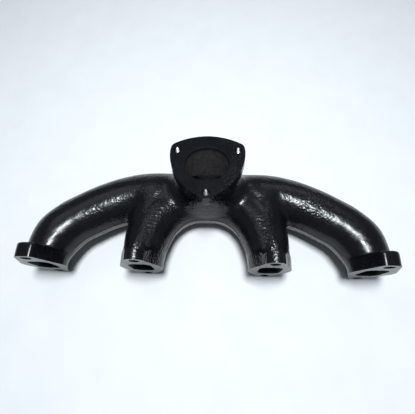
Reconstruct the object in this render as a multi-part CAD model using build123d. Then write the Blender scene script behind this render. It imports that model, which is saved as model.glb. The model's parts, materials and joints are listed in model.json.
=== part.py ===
"""Four-port log exhaust manifold with a tilted three-bolt outlet flange, in millimetres.

Frame: X runs along the manifold, with X = 0 on its mirror plane. The port faces face -Y and +Z is up.
The model is drawn with the port faces in the plane Y = 0, then moved back so that the finished part has its
origin at the middle of its box, on the plane that the collector and the lower bolt lugs rest on.

The manifold is one hollow casting. It is modelled whole, then parted on flat section planes into its
collector, runners, legs, neck and flanges, so every section meets its neighbour face to face.
"""

import math
import os

from build123d import *

# Port row
OUTER_PORT_X = 182.0
INNER_PORT_X = 71.0
PORT_Z = 46.5
PORT_WIDTH = 25.0
PORT_HEIGHT = 37.0
PORT_CORNER_R = 9.0

# Two-bolt port flanges, one bolt above and one below each port
BOLT_RISE = 35.5
BOLT_HOLE_R = 5.25
LUG_R = 11.0
LUG_CORNER_R = 4.5
FLANGE_THICKNESS = 15.0
INNER_LUG_THICKNESS = 11.0
OUTER_FLANGE_R = 24.0
INNER_FLANGE_R = 22.5
LUG_SPLIT_RISE = 24.0

# Collector
COLLECTOR_R = 31.0
COLLECTOR_Y = 91.0
COLLECTOR_Z = COLLECTOR_R + 0.4
WALL = 5.5

# Outlet neck and flange, square to an axis that leans away from the ports
OUTLET_LEAN_DEG = 13.2
OUTLET_FACE_RISE = 65.7
OUTLET_BORE_R = 24.75
NECK_R = 31.3
NECK_SPLIT_RISE = 34.0
OUTLET_FLANGE_THICKNESS = 13.0
OUTLET_BOLT_CIRCLE_R = 39.7
BACK_SIDE_REACH = 42.8
BACK_SIDE_R = 68.0
FRONT_SIDE_REACH = 38.0
FRONT_SIDE_R = 72.0
FRONT_SIDE_BEARINGS = (210.0, 330.0)
OUTLET_BOLT_BEARINGS = (30.0, 150.0, 270.0)
OUTLET_CORNER_R = 9.5

# M8 thread inserts, as long as the outlet flange is thick
INSERT_OUTER_R = 4.6
INSERT_BORE_R = 3.4

# Section planes, and how far cutters run past the faces they cut
RUNNER_SPLIT_X = 104.0
LEG_SPLIT_Y = 50.0
PASSAGE_OVERLAP = 3.0
BORE_OVERLAP = 1.0
BIG = 400.0


def casting_line_z(y):
    """Height of the passage axis, which falls steadily from the ports to the collector."""
    return PORT_Z + (COLLECTOR_Z - PORT_Z) * y / COLLECTOR_Y


def station(x, y, radius):
    """One station of a swept tube: a point on its axis and its outer radius."""
    return (x, y, casting_line_z(y)), radius


# Axis stations of the left side, from the port face inwards. The end runner carries on as the collector
# up to the mirror plane, and the inner leg ends inside the collector.
END_RUNNER = [
    station(-OUTER_PORT_X, 0.0, 23.7),
    station(-181.0, 15.0, 25.4),
    station(-174.5, 36.0, 27.6),
    station(-163.0, 51.0, 28.0),
    station(-148.0, 62.0, 28.2),
    station(-119.0, 78.5, 29.0),
    station(-88.0, 89.6, 29.7),
    station(-60.0, COLLECTOR_Y, COLLECTOR_R),
    station(-30.0, COLLECTOR_Y, COLLECTOR_R),
    station(0.0, COLLECTOR_Y, COLLECTOR_R),
]
INNER_LEG = [
    station(-INNER_PORT_X, 0.0, 21.4),
    station(-70.0, 20.0, 24.0),
    station(-67.5, 40.0, 27.0),
    station(-61.0, 58.0, 28.9),
    station(-47.0, 74.0, 29.0),
    station(-28.0, 84.0, 27.0),
]


def end_runner_axis(points):
    """Spline that leaves the port along its first step and ends along the collector."""
    return Spline(points, tangents=((points[1] - points[0]).normalized(), (1, 0, 0)))


def tube(stations, make_axis, inset):
    """A solid swept through round sections square to the axis, shrunk by inset all round."""
    points = [Vector(*point) for point, _ in stations]
    axis = make_axis(points)
    sections = []
    for point, (_, radius) in zip(points, stations):
        plane = Plane(origin=point, z_dir=axis.tangent_at(axis.param_at_point(point)))
        sections.append(plane * Circle(radius - inset))
    return loft(sections)


def block(x_low, x_high, y_low, y_high, z_low=-BIG, z_high=BIG):
    """An axis-aligned block between the given limits."""
    size = Box(x_high - x_low, y_high - y_low, z_high - z_low)
    return Pos((x_low + x_high) / 2, (y_low + y_high) / 2, (z_low + z_high) / 2) * size


def port_plane(x):
    """Sketch plane on a port face, with sketch Y pointing up and the extrusion pointing into the casting."""
    return Plane(origin=(x, 0, PORT_Z), x_dir=(-1, 0, 0), z_dir=(0, 1, 0))


def port_passage(x):
    """The straight upright passage through a port flange."""
    outline = RectangleRounded(PORT_WIDTH, PORT_HEIGHT, PORT_CORNER_R)
    return extrude(port_plane(x) * outline, FLANGE_THICKNESS + PASSAGE_OVERLAP)


def flange_plate(x, middle_r, thickness):
    """A two-bolt flange plate, drawn out to lugs; the upper one has a square inner shoulder."""
    circles = [Circle(middle_r)]
    circles += [Pos(0, rise) * Circle(LUG_R) for rise in (-BOLT_RISE, BOLT_RISE)]
    offset = LUG_R - LUG_CORNER_R
    circles.append(Pos(math.copysign(offset, x), BOLT_RISE + offset) * Circle(LUG_CORNER_R))
    edges = [circle.edge() for circle in circles]
    outline = make_hull(edges)
    holes = [Pos(0, rise) * Circle(BOLT_HOLE_R) for rise in (-BOLT_RISE, BOLT_RISE)]
    return extrude(port_plane(x) * (outline - holes), thickness)


def outlet_plane(rise):
    """Plane square to the outlet axis at a rise above the collector axis; sketch Y points to the back."""
    lean = math.radians(OUTLET_LEAN_DEG)
    up = (0, math.sin(lean), math.cos(lean))
    origin = (0, COLLECTOR_Y + rise * up[1], COLLECTOR_Z + rise * up[2])
    return Plane(origin=origin, x_dir=(1, 0, 0), z_dir=up)


def polar(reach, bearing):
    """A place in the outlet plane at a distance and a bearing in degrees from sketch X."""
    turn = math.radians(bearing)
    return Pos(reach * math.cos(turn), reach * math.sin(turn))


def outlet_outline():
    """Three-cornered outlet flange: three bowed sides meeting at rounded corners."""
    outline = Pos(0, BACK_SIDE_REACH - BACK_SIDE_R) * Circle(BACK_SIDE_R)
    for bearing in FRONT_SIDE_BEARINGS:
        outline = outline & (polar(FRONT_SIDE_REACH - FRONT_SIDE_R, bearing) * Circle(FRONT_SIDE_R))
    face = outline.face()
    return fillet(face.vertices(), OUTLET_CORNER_R)


# Left half of the casting: tubes and neck as one outside, less one connected gas passage
left_side = block(-BIG, 0, 0, BIG)
behind_flanges = block(-BIG, 0, FLANGE_THICKNESS, BIG)
neck_outer = extrude(outlet_plane(0) * Circle(NECK_R), OUTLET_FACE_RISE - OUTLET_FLANGE_THICKNESS)
neck_bore = extrude(outlet_plane(0) * Circle(OUTLET_BORE_R), OUTLET_FACE_RISE + BORE_OVERLAP)
outside = tube(END_RUNNER, end_runner_axis, 0) + tube(INNER_LEG, Spline, 0) + (neck_outer & left_side)
passage = tube(END_RUNNER, end_runner_axis, WALL) + tube(INNER_LEG, Spline, WALL) + (neck_bore & left_side)
passage = passage + port_passage(-OUTER_PORT_X) + port_passage(-INNER_PORT_X)
shell_half = (outside & behind_flanges) - passage

# Sections
nodes = {}
above_neck_split = extrude(outlet_plane(NECK_SPLIT_RISE) * Rectangle(BIG, BIG), BIG)
runner = shell_half & block(-BIG, -RUNNER_SPLIT_X, 0, BIG)
leg = shell_half & block(-RUNNER_SPLIT_X, 0, 0, LEG_SPLIT_Y)
middle_half = shell_half & block(-RUNNER_SPLIT_X, 0, LEG_SPLIT_Y, BIG)
collector_left = middle_half - above_neck_split
nodes["end_runner_1"] = runner
nodes["end_runner_4"] = mirror(runner, Plane.YZ)
nodes["inner_leg_2"] = leg
nodes["inner_leg_3"] = mirror(leg, Plane.YZ)
nodes["collector_left"] = collector_left
nodes["collector_right"] = mirror(collector_left, Plane.YZ)
nodes["outlet_neck"] = (neck_outer - neck_bore) & above_neck_split

# Outlet flange with its three thread inserts
flange_back = outlet_plane(OUTLET_FACE_RISE - OUTLET_FLANGE_THICKNESS)
flange = extrude(flange_back * outlet_outline(), OUTLET_FLANGE_THICKNESS) - neck_bore
inserts = []
for bearing in OUTLET_BOLT_BEARINGS:
    drill = flange_back * polar(OUTLET_BOLT_CIRCLE_R, bearing)
    flange = flange - extrude(drill * Circle(INSERT_OUTER_R), OUTLET_FLANGE_THICKNESS)
    ring = Circle(INSERT_OUTER_R) - Circle(INSERT_BORE_R)
    inserts.append(extrude(drill * ring, OUTLET_FLANGE_THICKNESS))
nodes["outlet_flange"] = flange
nodes["outlet_thread_inserts"] = Compound(children=[solid.solid() for solid in inserts])

# Port flanges, each a ring round its port with a bolt lug above and below
ports = [
    (1, -OUTER_PORT_X, OUTER_FLANGE_R, FLANGE_THICKNESS),
    (2, -INNER_PORT_X, INNER_FLANGE_R, INNER_LUG_THICKNESS),
    (3, INNER_PORT_X, INNER_FLANGE_R, INNER_LUG_THICKNESS),
    (4, OUTER_PORT_X, OUTER_FLANGE_R, FLANGE_THICKNESS),
]
for number, port_x, middle_r, lug_thickness in ports:
    plate = flange_plate(port_x, middle_r, FLANGE_THICKNESS) - port_passage(port_x)
    top = PORT_Z + LUG_SPLIT_RISE
    bottom = PORT_Z - LUG_SPLIT_RISE
    nodes[f"port_flange_{number}"] = plate & block(-BIG, BIG, 0, BIG, bottom, top)
    nodes[f"upper_bolt_lug_{number}"] = plate & block(-BIG, BIG, 0, lug_thickness, top, BIG)
    nodes[f"lower_bolt_lug_{number}"] = plate & block(-BIG, BIG, 0, BIG, -BIG, bottom)

# Move the origin to the middle of the box, whose rear edge is the back side of the outlet flange
rear_y = COLLECTOR_Y
rear_y += OUTLET_FACE_RISE * math.sin(math.radians(OUTLET_LEAN_DEG))
rear_y += BACK_SIDE_REACH * math.cos(math.radians(OUTLET_LEAN_DEG))
to_origin = Pos(0, -rear_y / 2, 0)

os.makedirs("parts", exist_ok=True)
for name, shape in nodes.items():
    placed = to_origin * shape
    export_step(placed, f"parts/{name}.step")
    print(name, "solids", len(placed.solids()), "volume", round(placed.volume), "valid", placed.is_valid)
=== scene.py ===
"""Looks for the four-port log exhaust manifold: a black-painted, sand-cast iron skin, machined faces and threads.

The casting is one continuous skin. It is drawn as a signed distance field in millimetres (the union of the tubes,
neck and flanges with cast fillets, less the gas passage), turned into a mesh, machined with crisp cutters, and
parted on the section planes of the CAD nodes, so each node has its own closed piece.
"""

import json
import math

import bmesh
import bpy
import numpy as np
import openvdb as vdb
from mathutils import Matrix, Vector

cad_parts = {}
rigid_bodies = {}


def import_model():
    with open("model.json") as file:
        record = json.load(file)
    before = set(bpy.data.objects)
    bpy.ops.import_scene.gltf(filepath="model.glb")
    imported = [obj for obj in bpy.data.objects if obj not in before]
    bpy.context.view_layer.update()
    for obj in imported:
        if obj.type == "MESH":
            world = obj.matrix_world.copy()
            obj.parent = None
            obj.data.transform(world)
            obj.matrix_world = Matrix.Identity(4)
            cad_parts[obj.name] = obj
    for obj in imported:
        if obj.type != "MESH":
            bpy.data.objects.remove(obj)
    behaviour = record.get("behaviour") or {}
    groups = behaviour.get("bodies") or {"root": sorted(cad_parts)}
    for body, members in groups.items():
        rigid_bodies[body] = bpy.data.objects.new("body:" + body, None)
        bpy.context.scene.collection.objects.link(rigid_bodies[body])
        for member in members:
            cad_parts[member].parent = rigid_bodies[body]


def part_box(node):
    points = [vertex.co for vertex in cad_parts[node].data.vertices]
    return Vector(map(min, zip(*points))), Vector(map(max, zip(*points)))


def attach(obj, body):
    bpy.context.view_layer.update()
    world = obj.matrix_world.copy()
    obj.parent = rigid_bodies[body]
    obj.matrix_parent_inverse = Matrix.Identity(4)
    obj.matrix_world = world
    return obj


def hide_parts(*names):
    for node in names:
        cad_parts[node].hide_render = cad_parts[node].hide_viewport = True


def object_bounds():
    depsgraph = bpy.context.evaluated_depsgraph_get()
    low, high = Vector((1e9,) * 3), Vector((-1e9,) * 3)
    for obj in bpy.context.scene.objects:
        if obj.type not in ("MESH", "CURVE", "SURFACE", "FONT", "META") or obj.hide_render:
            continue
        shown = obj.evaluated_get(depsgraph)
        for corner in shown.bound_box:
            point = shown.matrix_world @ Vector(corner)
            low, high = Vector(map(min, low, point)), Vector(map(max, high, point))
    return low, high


for startup_object in list(bpy.data.objects):
    bpy.data.objects.remove(startup_object)

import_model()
cad_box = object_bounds()

MM = 0.001


def box_mm(node):
    """Lowest and highest corner of a CAD node, in millimetres."""
    low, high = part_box(node)
    return np.array(low) / MM, np.array(high) / MM


# ---- Main places, read from the frame (millimetres)
PORT_BOXES = [box_mm(f"port_flange_{k}") for k in (1, 2, 3, 4)]
PORT_X = [(low[0] + high[0]) / 2 for low, high in PORT_BOXES]
OUTER_PORT_X = (PORT_X[3] - PORT_X[0]) / 2
INNER_PORT_X = (PORT_X[2] - PORT_X[1]) / 2
FACE_Y = PORT_BOXES[0][0][1]
PORT_Z = (PORT_BOXES[0][0][2] + PORT_BOXES[0][1][2]) / 2
LUG_TOP_Z = box_mm("upper_bolt_lug_1")[1][2]
LUG_SPLIT_RISE = PORT_BOXES[0][1][2] - PORT_Z
FLANGE_THICKNESS = PORT_BOXES[0][1][1] - FACE_Y
INNER_LUG_THICKNESS = box_mm("upper_bolt_lug_2")[1][1] - FACE_Y
OUTER_FLANGE_R = (PORT_BOXES[0][1][0] - PORT_BOXES[0][0][0]) / 2
INNER_FLANGE_R = (PORT_BOXES[1][1][0] - PORT_BOXES[1][0][0]) / 2

# ---- Dimensions of the casting (millimetres)
LUG_R, LUG_CORNER_R = 11.0, 4.5
BOLT_RISE = LUG_TOP_Z - PORT_Z - LUG_R
BOLT_HOLE_R = 5.25
PORT_WIDTH, PORT_HEIGHT, PORT_CORNER_R = 25.0, 37.0, 9.0
COLLECTOR_R, COLLECTOR_Y, COLLECTOR_Z = 31.0, 91.0, 31.4
WALL = 5.5
LEAN = math.radians(13.2)
OUTLET_FACE_RISE = 65.7
OUTLET_BORE_R = 24.75
NECK_R = 31.3
NECK_SPLIT_RISE = 34.0
OUTLET_THICKNESS = 13.0
OUTLET_BOLT_R = 39.7
BACK_REACH, BACK_SIDE_R = 42.8, 68.0
FRONT_REACH, FRONT_SIDE_R = 38.0, 72.0
OUTLET_CORNER_R = 9.5
INSERT_OUTER_R = 4.6
RUNNER_SPLIT_X, LEG_SPLIT_Y = 104.0, 50.0

# Axis stations from the port face inwards: x, distance behind the port face, outer radius
END_RUNNER = [
    (-OUTER_PORT_X, 0.0, 22.2),
    (-181.0, 15.0, 23.7),
    (-174.5, 36.0, 27.6),
    (-163.0, 51.0, 28.0),
    (-148.0, 62.0, 28.2),
    (-119.0, 78.5, 29.0),
    (-88.0, 89.6, 29.7),
    (-60.0, COLLECTOR_Y, COLLECTOR_R),
    (-30.0, COLLECTOR_Y, COLLECTOR_R),
    (0.0, COLLECTOR_Y, COLLECTOR_R),
]
INNER_LEG = [
    (-INNER_PORT_X, 0.0, 22.0),
    (-70.0, 20.0, 24.2),
    (-67.5, 40.0, 27.0),
    (-61.0, 58.0, 28.9),
    (-47.0, 74.0, 29.0),
    (-28.0, 84.0, 27.0),
]

# The leg's outer side runs straight on into the collector
LEG_SHOULDER = [
    (-70.5, 20.0, 23.5),
    (-68.0, 42.0, 26.5),
    (-66.3, 60.0, 28.2),
    (-65.5, 76.0, 29.2),
    (-65.0, 89.0, 30.0),
]
# How much taller than wide each tube is where it leaves its flange, and where it has become round
INNER_OVAL, OUTER_OVAL, ROUND_FROM_Y = 1.42, 1.06, 60.0

# The fillet between collector and neck is small underneath and widens towards the top
NECK_FILLET_LOW, NECK_FILLET = 3.0, 26.0
FILLET_FROM_RISE, FILLET_GROWTH = 4.0, 30.0

# Other cast fillets and edges, and how far the skin of a flange keeps inside its outline
LEG_FILLET, OUTER_FLANGE_FILLET, INNER_FLANGE_FILLET, OUTLET_FLANGE_FILLET = 5.0, 3.0, 5.0, 5.0
PASSAGE_FILLET, BORE_FILLET, PORT_BLEND = 5.0, 6.0, 3.0
PORT_FLANGE_EDGE_R, OUTLET_FLANGE_EDGE_R = 2.2, 1.6
SKIN_INSET = 0.35

# Parting-line flash, and the unevenness of the skin: height and wavelength
FLASH_HEIGHT, FLASH_WIDTH = 0.75, 1.3
LONG_WAVES, SHORT_WAVES = (0.10, 34.0), (0.035, 9.0)

# Machined edges and pockets
EDGE_CHAMFER, HOLE_CHAMFER = 0.25, 0.4
SPOT_FACE_R, SPOT_FACE_DEPTH = LUG_R + 2.0, 50.0

# Grid of the distance field; only the left half is worked out, and the right half is its mirror image
CELL = 1.1
MARGIN = 4.0
BAND = 12.0
FAR = 20.0


# ---- Distance field helpers. Work coordinates: x as in the frame, y = distance behind the port face, z up.
def axis_z(y):
    """Height of the passage axis, which falls steadily from the ports to the collector."""
    return PORT_Z + (COLLECTOR_Z - PORT_Z) * y / COLLECTOR_Y


def sampled_axis(stations, end_along_x, steps=7):
    """Smooth curve through the stations: rows of x, y, z, radius."""
    rows = np.array([(x, y, axis_z(y), r) for x, y, r in stations])
    tangents = np.gradient(rows, axis=0)
    tangents[0] = rows[1] - rows[0]
    if end_along_x:
        tangents[-1] = (rows[-1][0] - rows[-2][0], 0, 0, 0)
    result = []
    for a, b, ta, tb in zip(rows[:-1], rows[1:], tangents[:-1], tangents[1:]):
        for t in np.arange(steps) / steps:
            h = (2 * t**3 - 3 * t**2 + 1, t**3 - 2 * t**2 + t, 3 * t**2 - 2 * t**3, t**3 - t**2)
            result.append(h[0] * a + h[1] * ta + h[2] * b + h[3] * tb)
    result.append(rows[-1])
    return np.array(result)


class Field:
    """The left half of the grid, from the outer end to the mirror plane."""

    def __init__(self, low, high):
        count_x = int(math.ceil(-low[0] / CELL))
        self.xs = (np.arange(-count_x, 1) * CELL).astype(np.float32)
        self.ys = np.arange(low[1], high[1] + CELL, CELL, dtype=np.float32)
        self.zs = np.arange(low[2], high[2] + CELL, CELL, dtype=np.float32)
        self.shape = (len(self.xs), len(self.ys), len(self.zs))

    def empty(self):
        """A field with nothing in it."""
        return np.full(self.shape, FAR, np.float32)

    def window(self, low, high):
        """Index slices and open coordinate arrays of the cells between two corners."""
        picks = []
        for values, a, b in zip((self.xs, self.ys, self.zs), low, high):
            first = int(np.searchsorted(values, a))
            last = int(np.searchsorted(values, b))
            picks.append(slice(first, max(last, first)))
        x = self.xs[picks[0]][:, None, None]
        y = self.ys[picks[1]][None, :, None]
        z = self.zs[picks[2]][None, None, :]
        return tuple(picks), x, y, z


def add_tube(field, grid, rows, inset=0.0, oval=1.0):
    """Takes the union of a swept tube with a field.

    The tube is the given inset smaller than its rows say. By the factor oval it starts taller than wide, and it
    becomes round further on.
    """
    for a, b in zip(rows[:-1], rows[1:]):
        reach = max(a[3], b[3]) + BAND
        pick, x, y, z = grid.window(np.minimum(a, b)[:3] - reach, np.maximum(a, b)[:3] + reach)
        step = (b - a)[:3]
        grow = 1 + (oval - 1) * np.clip(1 - y / ROUND_FROM_Y, 0, 1) ** 2
        z = axis_z(y) + (z - axis_z(y)) / grow
        t = ((x - a[0]) * step[0] + (y - a[1]) * step[1] + (z - a[2]) * step[2]) / float(step @ step)
        t = np.clip(t, 0, 1).astype(np.float32)
        dx = x - (a[0] + t * step[0])
        dy = y - (a[1] + t * step[1])
        dz = z - (a[2] + t * step[2])
        distance = np.sqrt(dx * dx + dy * dy + dz * dz) - (a[3] + t * (b[3] - a[3]) - inset)
        np.minimum(field[pick], distance, out=field[pick])


def smooth_union(a, b, radius):
    """Union of two fields with a cast fillet of about the given radius."""
    h = np.maximum(radius - np.abs(a - b), 0) / radius
    return np.minimum(a, b) - h * h * radius / 4


def polygon_distance(u, v, outline):
    """Signed distance from points to a closed convex outline, negative inside."""
    best = np.full(np.broadcast(u, v).shape, 1e9, np.float32)
    inside = np.full(best.shape, -1e9, np.float32)
    for p, q in zip(outline, np.roll(outline, -1, axis=0)):
        edge = q - p
        length = float(np.hypot(*edge))
        if length < 1e-6:
            continue
        pu, pv = u - p[0], v - p[1]
        t = np.clip((pu * edge[0] + pv * edge[1]) / length**2, 0, 1)
        du, dv = pu - t * edge[0], pv - t * edge[1]
        best = np.minimum(best, du * du + dv * dv)
        inside = np.maximum(inside, (pu * edge[1] - pv * edge[0]) / length)
    return np.where(inside <= 0, inside, np.sqrt(best)).astype(np.float32)


def slab_distance(flat, across, half_thickness, edge_r):
    """Distance to a plate of the given outline distance, with rounded edges."""
    a = flat + edge_r
    b = np.abs(across) - half_thickness + edge_r
    outside = np.sqrt(np.maximum(a, 0) ** 2 + np.maximum(b, 0) ** 2)
    return np.minimum(np.maximum(a, b), 0) + outside - edge_r


def hull_outline(circles, count=160):
    """Outline round a set of circles (centre u, centre v, radius), counter-clockwise."""
    points = []
    for angle in np.linspace(0, 2 * math.pi, count, endpoint=False):
        n = np.array((math.cos(angle), math.sin(angle)))
        points.append(max((np.array(c[:2]) + c[2] * n for c in circles), key=lambda p: float(p @ n)))
    return np.array(points)


def outlet_outline(count=200):
    """Three bowed sides meeting at rounded corners; v points away from the ports."""
    sides = [(0.0, BACK_REACH - BACK_SIDE_R, BACK_SIDE_R)]
    for bearing in (210.0, 330.0):
        reach = FRONT_REACH - FRONT_SIDE_R
        turn = math.radians(bearing)
        sides.append((reach * math.cos(turn), reach * math.sin(turn), FRONT_SIDE_R))
    inner = [(np.array(s[:2]), s[2] - OUTLET_CORNER_R) for s in sides]
    corners = []
    for i, (c0, r0) in enumerate(inner):
        for c1, r1 in inner[i + 1:]:
            gap = float(np.hypot(*(c1 - c0)))
            along = (r0**2 - r1**2 + gap**2) / (2 * gap)
            side = math.sqrt(r0**2 - along**2)
            unit = (c1 - c0) / gap
            for sign in (-1, 1):
                spot = c0 + along * unit + sign * side * np.array((-unit[1], unit[0]))
                if all(np.hypot(*(spot - c)) < r + 0.01 for c, r in inner):
                    corners.append(spot)
    points = []
    for angle in np.linspace(0, 2 * math.pi, count, endpoint=False):
        n = np.array((math.cos(angle), math.sin(angle)))
        arcs = [c + r * n for c, r in inner]
        arcs = [p for p in arcs if all(np.hypot(*(p - c)) < r + 0.01 for c, r in inner)]
        core = arcs[0] if arcs else max(corners, key=lambda p: float(p @ n))
        points.append(core + OUTLET_CORNER_R * n)
    return np.array(points)


def waves(x, y, z, length, count, rng):
    """Smooth unevenness of about unit height and the given wavelength."""
    total = 0.0
    for _ in range(count):
        turn = rng.normal(size=3)
        turn *= 2 * math.pi / (length * rng.uniform(0.7, 1.5) * np.linalg.norm(turn))
        phase = rng.uniform(0, 2 * math.pi)
        total = total + np.sin(turn[0] * x + turn[1] * y + turn[2] * z + phase)
    return total * math.sqrt(2 / count)


def outlet_coords(x, y, z):
    """Outlet coordinates u, v (away from the ports) and rise along the outlet axis."""
    dy, dz = y - COLLECTOR_Y, z - COLLECTOR_Z
    return x, dy * math.cos(LEAN) - dz * math.sin(LEAN), dy * math.sin(LEAN) + dz * math.cos(LEAN)


OUTLET_UP = np.array((0.0, math.sin(LEAN), math.cos(LEAN)))
OUTLET_BACK = np.array((0.0, math.cos(LEAN), -math.sin(LEAN)))


def outlet_point(u, v, rise):
    """Work coordinates of a point given in outlet coordinates."""
    base = np.array((u, COLLECTOR_Y, COLLECTOR_Z), float)
    return base + OUTLET_BACK * v + OUTLET_UP * rise


def build_fields():
    """The outside of the casting and its gas passage, as two fields on one grid."""
    low = np.array((cad_box[0].x / MM - MARGIN, -MARGIN, -MARGIN))
    high = np.array((0.0, (cad_box[1].y - cad_box[0].y) / MM + MARGIN, cad_box[1].z / MM + MARGIN))
    grid = Field(low, high)
    runner_rows = sampled_axis(END_RUNNER, True)
    leg_rows = sampled_axis(INNER_LEG, False)

    # Tubes: a tight crease where the end runner meets the leg, a fuller fillet where the neck rises
    runner, leg = grid.empty(), grid.empty()
    add_tube(runner, grid, runner_rows, oval=OUTER_OVAL)
    add_tube(leg, grid, leg_rows, oval=INNER_OVAL)
    add_tube(leg, grid, sampled_axis(LEG_SHOULDER, False), oval=INNER_OVAL)
    outside = smooth_union(runner, leg, LEG_FILLET)
    del runner, leg

    # Port flanges
    for port_x, middle_r, fillet in (
        (-OUTER_PORT_X, OUTER_FLANGE_R, OUTER_FLANGE_FILLET),
        (-INNER_PORT_X, INNER_FLANGE_R, INNER_FLANGE_FILLET),
    ):
        corner = LUG_R - LUG_CORNER_R
        lugs = [(0, -BOLT_RISE, LUG_R), (0, BOLT_RISE, LUG_R), (0, 0, middle_r)]
        if port_x == -OUTER_PORT_X:
            lugs.append((corner, BOLT_RISE + corner, LUG_CORNER_R))
        reach = BOLT_RISE + LUG_R + BAND
        pick, x, y, z = grid.window((port_x - reach, -MARGIN, -MARGIN), (port_x + reach, 40.0, 2 * reach))
        flat = polygon_distance(x - port_x, z - PORT_Z, hull_outline(lugs)) + SKIN_INSET
        thickness = FLANGE_THICKNESS + MARGIN
        plate = slab_distance(flat, y - (FLANGE_THICKNESS - thickness / 2), thickness / 2, PORT_FLANGE_EDGE_R)
        outside[pick] = smooth_union(outside[pick], plate, fillet)

    # Neck and outlet flange
    pick, x, y, z = grid.window((-60, 20, -MARGIN), (1, 400, 400))
    u, v, rise = outlet_coords(x, y, z)
    neck = np.sqrt(u * u + v * v) - NECK_R
    neck = np.maximum(neck, np.maximum(-rise, rise - OUTLET_FACE_RISE))
    high_up = np.clip((rise - FILLET_FROM_RISE) / FILLET_GROWTH, 0, 1)
    fillet = NECK_FILLET_LOW + (NECK_FILLET - NECK_FILLET_LOW) * high_up
    outside[pick] = smooth_union(outside[pick], neck, fillet)
    flat = polygon_distance(u, v, outlet_outline()) + SKIN_INSET
    thickness = OUTLET_THICKNESS + MARGIN
    centre = OUTLET_FACE_RISE - OUTLET_THICKNESS + thickness / 2
    plate = slab_distance(flat, rise - centre, thickness / 2, OUTLET_FLANGE_EDGE_R)
    outside[pick] = smooth_union(outside[pick], plate, OUTLET_FLANGE_FILLET)

    # Parting-line flash along the tubes, and the unevenness of a sand-cast skin
    x, y, z = grid.xs[:, None, None], grid.ys[None, :, None], grid.zs[None, None, :]
    on_tubes = np.clip((y - FLANGE_THICKNESS) / 6, 0, 1)
    flash = FLASH_HEIGHT * np.exp(-(((z - axis_z(y)) / FLASH_WIDTH) ** 2)) * on_tubes
    rng = np.random.default_rng(7)
    rough = LONG_WAVES[0] * waves(x, y, z, LONG_WAVES[1], 9, rng)
    rough = rough + SHORT_WAVES[0] * waves(x, y, z, SHORT_WAVES[1], 12, rng)
    near = np.abs(outside) < 5
    outside -= np.where(near, flash + rough * np.clip((y - 2) / 10, 0, 1), 0).astype(np.float32)

    # Gas passage
    passage, branch = grid.empty(), grid.empty()
    add_tube(passage, grid, runner_rows, WALL)
    add_tube(branch, grid, leg_rows, WALL)
    passage = smooth_union(passage, branch, PASSAGE_FILLET)
    pick, x, y, z = grid.window((-60, 20, -MARGIN), (1, 400, 400))
    u, v, rise = outlet_coords(x, y, z)
    bore = np.maximum(np.sqrt(u * u + v * v) - OUTLET_BORE_R, -rise)
    passage[pick] = smooth_union(passage[pick], bore, BORE_FILLET)
    for port_x in (-OUTER_PORT_X, -INNER_PORT_X):
        pick, x, y, z = grid.window((port_x - 40, -MARGIN, 0), (port_x + 40, 40.0, 100))
        du = np.abs(x - port_x) - PORT_WIDTH / 2 + PORT_CORNER_R
        dv = np.abs(z - PORT_Z) - PORT_HEIGHT / 2 + PORT_CORNER_R
        opening = np.sqrt(np.maximum(du, 0) ** 2 + np.maximum(dv, 0) ** 2)
        opening = opening + np.minimum(np.maximum(du, dv), 0) - PORT_CORNER_R
        opening = np.maximum(opening, y - FLANGE_THICKNESS - 3)
        # the swept passage starts behind the flange, and the opening in the face is the upright one
        blended = smooth_union(passage[pick], opening, PORT_BLEND)
        passage[pick] = np.where(y < FLANGE_THICKNESS, opening, blended)
    return grid, outside, passage


def full(half):
    """The whole grid from its left half."""
    return np.concatenate([half, half[-2::-1]], axis=0)


def mesh_object(name, points, faces):
    """A mesh object with no parent, in millimetres."""
    mesh = bpy.data.meshes.new(name)
    mesh.from_pydata([tuple(p) for p in points], [], [tuple(int(i) for i in f) for f in faces])
    mesh.validate()
    obj = bpy.data.objects.new(name, mesh)
    bpy.context.scene.collection.objects.link(obj)
    return obj


def polygonise(name, grid, half):
    """Mesh of the zero surface of a field, in frame coordinates (millimetres)."""
    volume = vdb.FloatGrid(FAR)
    volume.copyFromArray(np.ascontiguousarray(full(half)))
    points, quads = volume.convertToQuads(0.0)
    origin = np.array((grid.xs[0], grid.ys[0] + FACE_Y, grid.zs[0]))
    points = points * CELL + origin
    mesh = bpy.data.meshes.new(name)
    mesh.vertices.add(len(points))
    mesh.vertices.foreach_set("co", points.astype(np.float32).ravel())
    mesh.loops.add(len(quads) * 4)
    mesh.loops.foreach_set("vertex_index", quads.astype(np.int32).ravel())
    mesh.polygons.add(len(quads))
    mesh.polygons.foreach_set("loop_start", np.arange(0, len(quads) * 4, 4, dtype=np.int32))
    mesh.update(calc_edges=True)
    mesh.validate()
    obj = bpy.data.objects.new(name, mesh)
    bpy.context.scene.collection.objects.link(obj)
    return obj


CUTTER_EXTRA = 3.0


def prism(outline, low, high, place, chamfer=0.0):
    """Closed cutter swept over an outline, from low to a little past high.

    place maps (u, v, w) to frame millimetres. With a chamfer, the cutter flares out by that much at high.
    """
    outline = np.array(outline)
    centre = outline.mean(axis=0)
    levels = [(low, 1.0)]
    if chamfer:
        radius = np.hypot(*(outline - centre).T).mean()
        flare = 1 + chamfer / radius
        levels += [(high - chamfer, 1.0), (high, flare), (high + CUTTER_EXTRA, flare)]
    else:
        levels += [(high + CUTTER_EXTRA, 1.0)]
    points, faces = [], []
    for w, grow in levels:
        points += [place(*(centre + (p - centre) * grow), w) for p in outline]
    n = len(outline)
    for level in range(len(levels) - 1):
        for i in range(n):
            j = (i + 1) % n
            faces.append((level * n + i, level * n + j, (level + 1) * n + j, (level + 1) * n + i))
    faces.append(tuple(reversed(range(n))))
    faces.append(tuple(range((len(levels) - 1) * n, len(levels) * n)))
    obj = mesh_object("cutter", points, faces)
    fix_normals(obj)
    return obj


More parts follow.
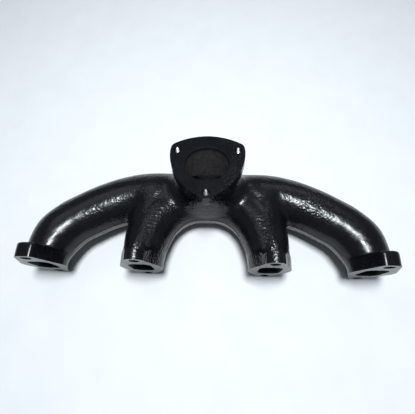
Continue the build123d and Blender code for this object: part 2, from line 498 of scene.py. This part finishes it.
def fix_normals(obj):
    """Turns all faces outwards."""
    bm = bmesh.new()
    bm.from_mesh(obj.data)
    bmesh.ops.recalc_face_normals(bm, faces=bm.faces)
    bm.to_mesh(obj.data)
    bm.free()


def circle(radius, count=64, centre=(0.0, 0.0)):
    """Points of a circle."""
    turns = np.linspace(0, 2 * math.pi, count, endpoint=False)
    return [(centre[0] + radius * math.cos(t), centre[1] + radius * math.sin(t)) for t in turns]


def rounded_rectangle(width, height, radius, count=10):
    """Points of an upright rectangle with rounded corners."""
    points = []
    corners = ((1, 1, 0), (-1, 1, 90), (-1, -1, 180), (1, -1, 270))
    for sx, sy, start in corners:
        cx, cy = sx * (width / 2 - radius), sy * (height / 2 - radius)
        for t in np.radians(np.linspace(start, start + 90, count)):
            points.append((cx + radius * math.cos(t), cy + radius * math.sin(t)))
    return points


def block(low, high, place=None):
    """Closed box cutter between two corners, which place, if given, maps to frame millimetres."""
    spans = tuple(zip(low, high))
    corners = [(x, y, z) for x in spans[0] for y in spans[1] for z in spans[2]]
    faces = [(0, 1, 3, 2), (4, 6, 7, 5), (0, 4, 5, 1), (2, 3, 7, 6), (0, 2, 6, 4), (1, 5, 7, 3)]
    if place:
        corners = [place(*c) for c in corners]
    obj = mesh_object("block", corners, faces)
    fix_normals(obj)
    return obj


def boolean(obj, cutter, operation):
    """Cuts or intersects a mesh with another, and removes the cutter."""
    modifier = obj.modifiers.new("cut", "BOOLEAN")
    modifier.operation = operation
    modifier.solver = "MANIFOLD"
    modifier.object = cutter
    apply_modifiers(obj)
    bpy.data.objects.remove(cutter)


def apply_modifiers(obj):
    """Replaces a mesh by its evaluated result."""
    graph = bpy.context.evaluated_depsgraph_get()
    result = bpy.data.meshes.new_from_object(obj.evaluated_get(graph))
    obj.modifiers.clear()
    old = obj.data
    obj.data = result
    bpy.data.meshes.remove(old)


def port_place(port_x):
    """Maps (u, v, w) to the frame for a port: w runs out of the port face."""
    return lambda u, v, w: (port_x + u, FACE_Y - w, PORT_Z + v)


def outlet_place(u, v, w):
    """Maps (u, v, w) to the frame for the outlet: w is the rise above its face."""
    x, y, z = outlet_point(u, v, OUTLET_FACE_RISE + w)
    return x, y + FACE_Y, z


def outlet_bolts():
    """Outlet bolt centres in outlet coordinates."""
    return [
        (OUTLET_BOLT_R * math.cos(math.radians(b)), OUTLET_BOLT_R * math.sin(math.radians(b)))
        for b in (30.0, 150.0, 270.0)
    ]


def machine(casting):
    """Cuts the port faces, ports, bolt holes, spot faces and the outlet face, bore and bolt holes."""
    boolean(casting, block((-400, FACE_Y - 100, -100), (400, FACE_Y, 300)), "DIFFERENCE")
    low, high = (-200, -200, 0), (200, 200, 60)
    boolean(casting, block(low, high, outlet_place), "DIFFERENCE")
    for index, port_x in enumerate(PORT_X):
        place = port_place(port_x)
        outline = rounded_rectangle(PORT_WIDTH, PORT_HEIGHT, PORT_CORNER_R)
        boolean(casting, prism(outline, -FLANGE_THICKNESS, 0.0, place, EDGE_CHAMFER), "DIFFERENCE")
        for rise in (-BOLT_RISE, BOLT_RISE):
            hole = circle(BOLT_HOLE_R, 48, (0.0, rise))
            boolean(casting, prism(hole, -40.0, 0.0, place, HOLE_CHAMFER), "DIFFERENCE")
        if index in (1, 2):
            spot = circle(SPOT_FACE_R, 64, (0.0, BOLT_RISE))
            top = -INNER_LUG_THICKNESS - CUTTER_EXTRA
            boolean(casting, prism(spot, -SPOT_FACE_DEPTH, top, place), "DIFFERENCE")
    bore = circle(OUTLET_BORE_R, 128)
    boolean(casting, prism(bore, -OUTLET_THICKNESS - 16.0, 0.0, outlet_place, EDGE_CHAMFER), "DIFFERENCE")
    for u, v in outlet_bolts():
        hole = circle(INSERT_OUTER_R, 48, (u, v))
        boolean(casting, prism(hole, -OUTLET_THICKNESS - CUTTER_EXTRA, 0.0, outlet_place), "DIFFERENCE")


# ---- Pieces: the machined casting is parted on the section planes of the CAD nodes
WIDE = 500.0


def neck_block(below):
    """Everything below, or above, the plane that parts the neck from the collector."""
    rise = NECK_SPLIT_RISE - OUTLET_FACE_RISE
    if below:
        return block((-WIDE, -WIDE, rise - WIDE), (WIDE, WIDE, rise), outlet_place)
    return block((-WIDE, -WIDE, rise), (WIDE, WIDE, -OUTLET_THICKNESS), outlet_place)


def frame_block(x_low, x_high, y_low, y_high, z_low=-WIDE, z_high=WIDE):
    """A block given in x, distance behind the port face, and z."""
    return block((x_low, y_low + FACE_Y, z_low), (x_high, y_high + FACE_Y, z_high))


def node_regions():
    """Each CAD node's name with the cutters whose overlap holds its share of the casting."""
    behind = FLANGE_THICKNESS
    regions = {
        "outlet_flange": [lambda: block((-WIDE, -WIDE, -OUTLET_THICKNESS), (WIDE, WIDE, 50.0), outlet_place)],
        "outlet_neck": [lambda: neck_block(False), lambda: frame_block(-60, 60, 20, WIDE)],
    }
    split = RUNNER_SPLIT_X
    for name, x_low, x_high in (("collector_left", -split, 0), ("collector_right", 0, split)):
        regions[name] = [
            lambda a=x_low, b=x_high: frame_block(a, b, LEG_SPLIT_Y, WIDE),
            lambda: neck_block(True),
        ]
    for name, x_low, x_high in (("inner_leg_2", -split, 0), ("inner_leg_3", 0, split)):
        regions[name] = [lambda a=x_low, b=x_high: frame_block(a, b, behind, LEG_SPLIT_Y)]
    for name, x_low, x_high in (("end_runner_1", -WIDE, -split), ("end_runner_4", split, WIDE)):
        regions[name] = [lambda a=x_low, b=x_high: frame_block(a, b, behind, WIDE)]
    for index, port_x in enumerate(PORT_X):
        x_low, x_high = port_x - 40, port_x + 40
        low, high = PORT_Z - LUG_SPLIT_RISE, PORT_Z + LUG_SPLIT_RISE
        number = index + 1
        spans = {"lower_bolt_lug": (-WIDE, low), "port_flange": (low, high), "upper_bolt_lug": (high, WIDE)}
        for kind, (a, b) in spans.items():
            regions[f"{kind}_{number}"] = [
                lambda l=x_low, h=x_high, a=a, b=b: frame_block(l, h, -10, behind, a, b)
            ]
    return regions


def sample(field, points):
    """Trilinear values of a half field at frame points, in millimetres."""
    at = np.stack([-np.abs(points[:, 0]), points[:, 1] - FACE_Y, points[:, 2]], axis=1)
    at = (at - np.array((grid.xs[0], grid.ys[0], grid.zs[0]))) / CELL
    at = np.clip(at, 0, np.array(field.shape) - 1.001)
    base = at.astype(int)
    part = at - base
    total = 0.0
    for dx in (0, 1):
        for dy in (0, 1):
            for dz in (0, 1):
                weight = np.prod(np.abs(1 - np.array((dx, dy, dz)) - part), axis=1)
                total = total + weight * field[base[:, 0] + dx, base[:, 1] + dy, base[:, 2] + dz]
    return total


# Faces closer than this to the gas passage are bare iron; edges sharper than this angle stay crisp
PASSAGE_REACH = 0.9
SHARP_DEG = 38.0


def finish_piece(obj, name, materials):
    """Names a piece, turns it into metres, shades it, and picks the finish of each face."""
    obj.name = name
    obj.data.name = name
    mesh = obj.data
    points = np.zeros(len(mesh.vertices) * 3, np.float32)
    mesh.vertices.foreach_get("co", points)
    on_passage = sample(passage, points.reshape(-1, 3)) < PASSAGE_REACH
    in_passage = np.array([on_passage[list(face.vertices)].all() for face in mesh.polygons])
    mesh.materials.clear()
    for material in materials:
        mesh.materials.append(material)
    mesh.polygons.foreach_set("material_index", in_passage.astype(np.int32))
    mesh.transform(Matrix.Scale(MM, 4))
    mesh.polygons.foreach_set("use_smooth", np.ones(len(mesh.polygons), bool))
    mesh.set_sharp_from_angle(angle=math.radians(SHARP_DEG))
    mesh.update()
    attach(obj, "root")


def part_casting(casting, materials):
    """Cuts the casting into one closed piece for each of its CAD nodes."""
    for node, cutters in node_regions().items():
        piece = bpy.data.objects.new(node + "_skin", casting.data.copy())
        bpy.context.scene.collection.objects.link(piece)
        for make_cutter in cutters:
            boolean(piece, make_cutter(), "INTERSECT")
        finish_piece(piece, node + "_casting", materials)
        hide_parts(node)
    bpy.data.objects.remove(casting)


# Material places on the threaded sleeves (bright steel as a painted glint, paint, dark steel as painted shade),
# and the proportions of their thread
GLINT_INDEX, PAINT_INDEX, SHADE_INDEX = 0, 1, 2
THREAD_PITCH, THREAD_MINOR_R, THREAD_MAJOR_R = 1.25, 3.4, 4.05
SLEEVE_FACETS, SLEEVE_RINGS = 48, 104


def threaded_insert_mesh(bm, u, v):
    """One M8 threaded sleeve, flush with the outlet face."""
    pitch, minor_r, major_r = THREAD_PITCH, THREAD_MINOR_R, THREAD_MAJOR_R
    around, along = SLEEVE_FACETS, SLEEVE_RINGS
    inner, outer = [], []
    for j in range(along + 1):
        w = -OUTLET_THICKNESS * (1 - j / along)
        ring = []
        for i in range(around):
            turn = 2 * math.pi * i / around
            phase = (w / pitch - i / around) % 1.0
            depth = abs(2 * phase - 1)
            radius = minor_r + (major_r - minor_r) * min(1.0, max(0.0, 1.35 * depth - 0.15))
            near_top = max(0.0, w + 0.9)
            radius = min(max(radius, minor_r + near_top), INSERT_OUTER_R - 0.15)
            spot = outlet_place(u + radius * math.cos(turn), v + radius * math.sin(turn), w)
            ring.append(bm.verts.new(Vector(spot) * MM))
        inner.append(ring)
    for w in (-OUTLET_THICKNESS, 0.0):
        ring = []
        for i in range(around):
            turn = 2 * math.pi * i / around
            edge_r = INSERT_OUTER_R - 0.01
            spot = outlet_place(u + edge_r * math.cos(turn), v + edge_r * math.sin(turn), w)
            ring.append(bm.verts.new(Vector(spot) * MM))
        outer.append(ring)
    loops = [outer[0], *inner, outer[1], outer[0]]
    for a, b in zip(loops[:-1], loops[1:]):
        for i in range(around):
            j = (i + 1) % around
            face = bm.faces.new((a[i], a[j], b[j], b[i]))
            if b is outer[1]:
                face.material_index = PAINT_INDEX
            elif a in inner:
                depth = OUTLET_THICKNESS * (1 - inner.index(a) / along)
                off_back = abs((2 * math.pi * i / around - math.pi / 2 + math.pi) % (2 * math.pi) - math.pi)
                # painted glint: a strip up the back wall gets bright steel, and the rest of the thread gets dark
                # steel as painted shade
                face.material_index = GLINT_INDEX if off_back < 0.15 + 0.13 * depth else SHADE_INDEX


def build_inserts(thread, paint, painted_shade_thread):
    """The three thread sleeves as one piece. A strip up each back wall, widening with depth, is bright steel as a
    painted glint; the rest of the thread is dark steel as painted shade.
    """
    bm = bmesh.new()
    for u, v in outlet_bolts():
        threaded_insert_mesh(bm, u, v)
    bmesh.ops.recalc_face_normals(bm, faces=bm.faces)
    mesh = bpy.data.meshes.new("thread_inserts")
    bm.to_mesh(mesh)
    bm.free()
    obj = bpy.data.objects.new("outlet_thread_inserts_detailed", mesh)
    bpy.context.scene.collection.objects.link(obj)
    mesh.materials.append(thread)
    mesh.materials.append(paint)
    mesh.materials.append(painted_shade_thread)
    mesh.polygons.foreach_set("use_smooth", np.ones(len(mesh.polygons), bool))
    mesh.set_sharp_from_angle(angle=math.radians(30))
    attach(obj, "root")
    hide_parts("outlet_thread_inserts")


# ---- Materials
PAINT_BLACK = (0.006, 0.0065, 0.008, 1)


class Nodes:
    """Short hand for building a node material. Lengths are in metres, from object coordinates."""

    def __init__(self, name):
        self.material = bpy.data.materials.new(name)
        self.material.use_nodes = True
        self.tree = self.material.node_tree
        self.shader = self.tree.nodes["Principled BSDF"]
        self.coords = self.tree.nodes.new("ShaderNodeTexCoord").outputs["Object"]

    def link(self, source, target):
        """Joins two sockets."""
        self.tree.links.new(source, target)

    def noise(self, size_mm, detail=2.0, roughness=0.5):
        """Fractal noise with features of about the given size."""
        node = self.tree.nodes.new("ShaderNodeTexNoise")
        node.inputs["Scale"].default_value = 1.0 / (size_mm * MM)
        node.inputs["Detail"].default_value = detail
        node.inputs["Roughness"].default_value = roughness
        self.link(self.coords, node.inputs["Vector"])
        return node.outputs["Fac"]

    def cells(self, size_mm):
        """Distance to the nearest point of scattered cells of about the given size."""
        node = self.tree.nodes.new("ShaderNodeTexVoronoi")
        node.feature = "SMOOTH_F1"
        node.inputs["Scale"].default_value = 1.0 / (size_mm * MM)
        node.inputs["Smoothness"].default_value = 0.6
        self.link(self.coords, node.inputs["Vector"])
        return node.outputs["Distance"]

    def ramp(self, source, stops):
        """Colour ramp through (position, colour) stops; a number stands for a grey."""
        node = self.tree.nodes.new("ShaderNodeValToRGB")
        elements = node.color_ramp.elements
        while len(elements) < len(stops):
            elements.new(0.5)
        for element, (position, colour) in zip(elements, stops):
            element.position = position
            element.color = (*colour, 1) if isinstance(colour, tuple) else (colour, colour, colour, 1)
        self.link(source, node.inputs["Fac"])
        return node.outputs["Color"]

    def times(self, first, second):
        """Product of two values."""
        node = self.tree.nodes.new("ShaderNodeMath")
        node.operation = "MULTIPLY"
        self.link(first, node.inputs[0])
        self.link(second, node.inputs[1])
        return node.outputs[0]

    def map_range(self, source, span, result):
        """Maps a value linearly from one span to another, and holds it beyond the ends."""
        node = self.tree.nodes.new("ShaderNodeMapRange")
        sockets = ("From Min", "From Max", "To Min", "To Max")
        for socket, value in zip(sockets, (*span, *result)):
            node.inputs[socket].default_value = value
        self.link(source, node.inputs["Value"])
        return node.outputs["Result"]

    def fade_from_middle(self, near_mm, far_mm, floor):
        """One within near_mm of the mirror plane, falling to the given floor at far_mm."""
        split = self.tree.nodes.new("ShaderNodeSeparateXYZ")
        self.link(self.coords, split.inputs[0])
        size = self.tree.nodes.new("ShaderNodeMath")
        size.operation = "ABSOLUTE"
        self.link(split.outputs["X"], size.inputs[0])
        return self.map_range(size.outputs[0], (near_mm * MM, far_mm * MM), (1.0, floor))

    def beyond(self, direction, start_mm, full_mm):
        """How far points lie along a direction: zero up to start_mm, one from full_mm on."""
        dot = self.tree.nodes.new("ShaderNodeVectorMath")
        dot.operation = "DOT_PRODUCT"
        dot.inputs[1].default_value = direction
        self.link(self.coords, dot.inputs[0])
        return self.map_range(dot.outputs["Value"], (start_mm * MM, full_mm * MM), (0.0, 1.0))

    def darken(self, colour, amount):
        """Moves a colour towards near-black by the given amount."""
        node = self.tree.nodes.new("ShaderNodeMix")
        node.data_type = "RGBA"
        self.link(amount, node.inputs["Factor"])
        self.link(colour, node.inputs["A"])
        node.inputs["B"].default_value = PAINT_BLACK
        return node.outputs["Result"]

    def bump(self, height, depth_mm, strength=1.0, normal=None):
        """Bump of the given depth over a height from 0 to 1."""
        node = self.tree.nodes.new("ShaderNodeBump")
        node.inputs["Distance"].default_value = depth_mm * MM
        if isinstance(strength, bpy.types.NodeSocket):
            self.link(strength, node.inputs["Strength"])
        else:
            node.inputs["Strength"].default_value = strength
        self.link(height, node.inputs["Height"])
        if normal is not None:
            self.link(normal, node.inputs["Normal"])
        return node.outputs["Normal"]

    def set(self, **values):
        """Uniform values set on the shader's own sockets."""
        for key, value in values.items():
            self.shader.inputs[key.replace("_", " ")].default_value = value


def painted_iron():
    """Semi-gloss black paint over a pebbled sand-cast skin; some places are smoother than others."""
    n = Nodes("black_paint_on_cast_iron")
    tones = [(0.35, (0.003, 0.0033, 0.004)), (0.7, (0.006, 0.0065, 0.008))]
    n.link(n.ramp(n.noise(30, 3), tones), n.shader.inputs["Base Color"])
    n.link(n.ramp(n.noise(5, 4, 0.6), [(0.3, 0.20), (0.72, 0.31)]), n.shader.inputs["Roughness"])
    # the tubes are pebbled in patches, and smoother towards the end ports
    patches = n.ramp(n.noise(38, 2), [(0.40, 0.35), (0.58, 1.0)])
    patches = n.times(patches, n.fade_from_middle(118.0, 158.0, 0.12))
    coarse = n.bump(n.noise(9.0, 2), 0.05)
    pebbles = n.bump(n.cells(2.7), 0.46, patches, coarse)
    fine = n.bump(n.noise(1.0, 3, 0.6), 0.07, patches, pebbles)
    n.link(fine, n.shader.inputs["Normal"])
    n.set(IOR=1.41)
    return n.material


def raw_iron():
    """Unpainted cast iron inside the passages: brown-grey, dull and pitted."""
    n = Nodes("raw_cast_iron")
    tones = [(0.3, (0.038, 0.034, 0.036)), (0.55, (0.070, 0.065, 0.069)), (0.8, (0.11, 0.10, 0.105))]
    iron = n.ramp(n.noise(5, 5, 0.6), tones)
    # painted shade: the raw iron turns near-black within a few millimetres of the outlet face and in the first 10
    # to 22 mm behind the port faces
    outlet_level = float(np.dot(outlet_place(0, 0, 0), OUTLET_UP))
    iron = n.darken(iron, n.beyond(tuple(OUTLET_UP), outlet_level - 7.5, outlet_level - 3.5))
    iron = n.darken(iron, n.beyond((0.0, -1.0, 0.0), -FACE_Y - 22.0, -FACE_Y - 10.0))
    n.link(iron, n.shader.inputs["Base Color"])
    n.link(n.ramp(n.noise(3, 4), [(0.3, 0.6), (0.7, 0.85)]), n.shader.inputs["Roughness"])
    n.link(n.bump(n.noise(1.4, 5, 0.65), 0.35), n.shader.inputs["Normal"])
    n.set(Metallic=0.2)
    return n.material


def thread_steel(name, dark, light):
    """Cut thread steel in one range of tones: a bright one serves as a painted glint, a dark one as painted
    shade.
    """
    n = Nodes(name)
    n.link(n.ramp(n.noise(1.5, 3), [(0.3, dark), (0.7, light)]), n.shader.inputs["Base Color"])
    n.link(n.ramp(n.noise(0.8, 3), [(0.3, 0.25), (0.7, 0.45)]), n.shader.inputs["Roughness"])
    n.link(n.bump(n.noise(0.4, 2), 0.03), n.shader.inputs["Normal"])
    n.set(Metallic=1.0)
    return n.material


def floor_paper():
    """Plain white paper."""
    n = Nodes("floor_paper")
    n.link(n.ramp(n.noise(40, 3), [(0.3, 0.86), (0.7, 0.89)]), n.shader.inputs["Base Color"])
    n.set(Roughness=0.9)
    return n.material


# ---- Stage. The camera's place is in millimetres: x, distance in front of (minus) the port face, height.
CAMERA_AT = (11.4, -56.7, 381.7)
CAMERA_TILT_DEG, CAMERA_YAW_DEG, CAMERA_ROLL_DEG = 21.30, -1.77, 1.13
CAMERA_LENS = 26.02
LIGHT_COLOUR = (0.88, 0.95, 1.0)
LIGHTS = (
    # name, place and size in metres, power in watts
    ("key", (0.03, -0.02, 1.0), (0.22, 0.18), 11),
    ("left_back", (-0.45, 0.55, 1.0), (0.5, 0.5), 0.8),
    ("right_back", (0.5, 1.0, 1.0), (0.5, 0.5), 1.0),
)


def make_camera():
    """Camera above the port side, looking down and back at the manifold."""
    tilt, yaw, roll = (math.radians(a) for a in (CAMERA_TILT_DEG, CAMERA_YAW_DEG, CAMERA_ROLL_DEG))
    right = Vector((1, 0, 0))
    up = Vector((0, math.cos(tilt), math.sin(tilt)))
    forward = Vector((0, math.sin(tilt), -math.cos(tilt)))
    looking = forward * math.cos(yaw) + right * math.sin(yaw)
    turned = right * math.cos(yaw) - forward * math.sin(yaw)
    camera_right = turned * math.cos(roll) + up * math.sin(roll)
    camera_up = up * math.cos(roll) - turned * math.sin(roll)
    data = bpy.data.cameras.new("camera")
    data.sensor_width = 36.0
    data.lens = CAMERA_LENS
    data.clip_start, data.clip_end = 0.01, 50.0
    camera = bpy.data.objects.new("camera", data)
    turn = Matrix((camera_right, camera_up, -looking)).transposed()
    place = Vector((CAMERA_AT[0], CAMERA_AT[1] + FACE_Y, CAMERA_AT[2])) * MM
    camera.matrix_world = Matrix.Translation(place) @ turn.to_4x4()
    bpy.context.scene.collection.objects.link(camera)
    bpy.context.scene.camera = camera


def area_light(name, place, size, power):
    """Soft rectangular light aimed at the origin; lengths in metres."""
    data = bpy.data.lights.new(name, "AREA")
    data.shape = "RECTANGLE"
    data.size, data.size_y = size
    data.energy = power
    data.color = LIGHT_COLOUR
    light = bpy.data.objects.new(name, data)
    light.location = place
    light.rotation_mode = "QUATERNION"
    light.rotation_quaternion = (-Vector(place)).to_track_quat("-Z", "Y")
    bpy.context.scene.collection.objects.link(light)


def make_stage():
    """Pale floor, dim surroundings and soft lights."""
    mesh = bpy.data.meshes.new("floor")
    mesh.from_pydata([(-4, -4, 0), (4, -4, 0), (4, 4, 0), (-4, 4, 0)], [], [(0, 1, 2, 3)])
    mesh.materials.append(floor_paper())
    floor = bpy.data.objects.new("floor", mesh)
    bpy.context.scene.collection.objects.link(floor)
    world = bpy.data.worlds.new("studio")
    bpy.context.scene.world = world
    world.use_nodes = True
    background = world.node_tree.nodes["Background"]
    background.inputs["Color"].default_value = (0.80, 0.88, 1.0, 1)
    background.inputs["Strength"].default_value = 0.15
    for name, place, size, power in LIGHTS:
        area_light(name, place, size, power)
    bpy.context.scene.view_settings.view_transform = "Standard"


make_camera()
make_stage()
grid, outside, passage = build_fields()
casting = polygonise("casting", grid, np.maximum(outside, -passage))
machine(casting)
paint = painted_iron()
part_casting(casting, [paint, raw_iron()])
# bright and dark copies of one thread steel: painted glint and painted shade in the threaded holes
painted_glint_thread = thread_steel("bare_thread_steel", (0.45, 0.45, 0.44), (0.72, 0.72, 0.71))
painted_shade_thread = thread_steel("thread_steel_painted_shade", (0.02, 0.02, 0.022), (0.06, 0.06, 0.065))
build_inserts(painted_glint_thread, paint, painted_shade_thread)
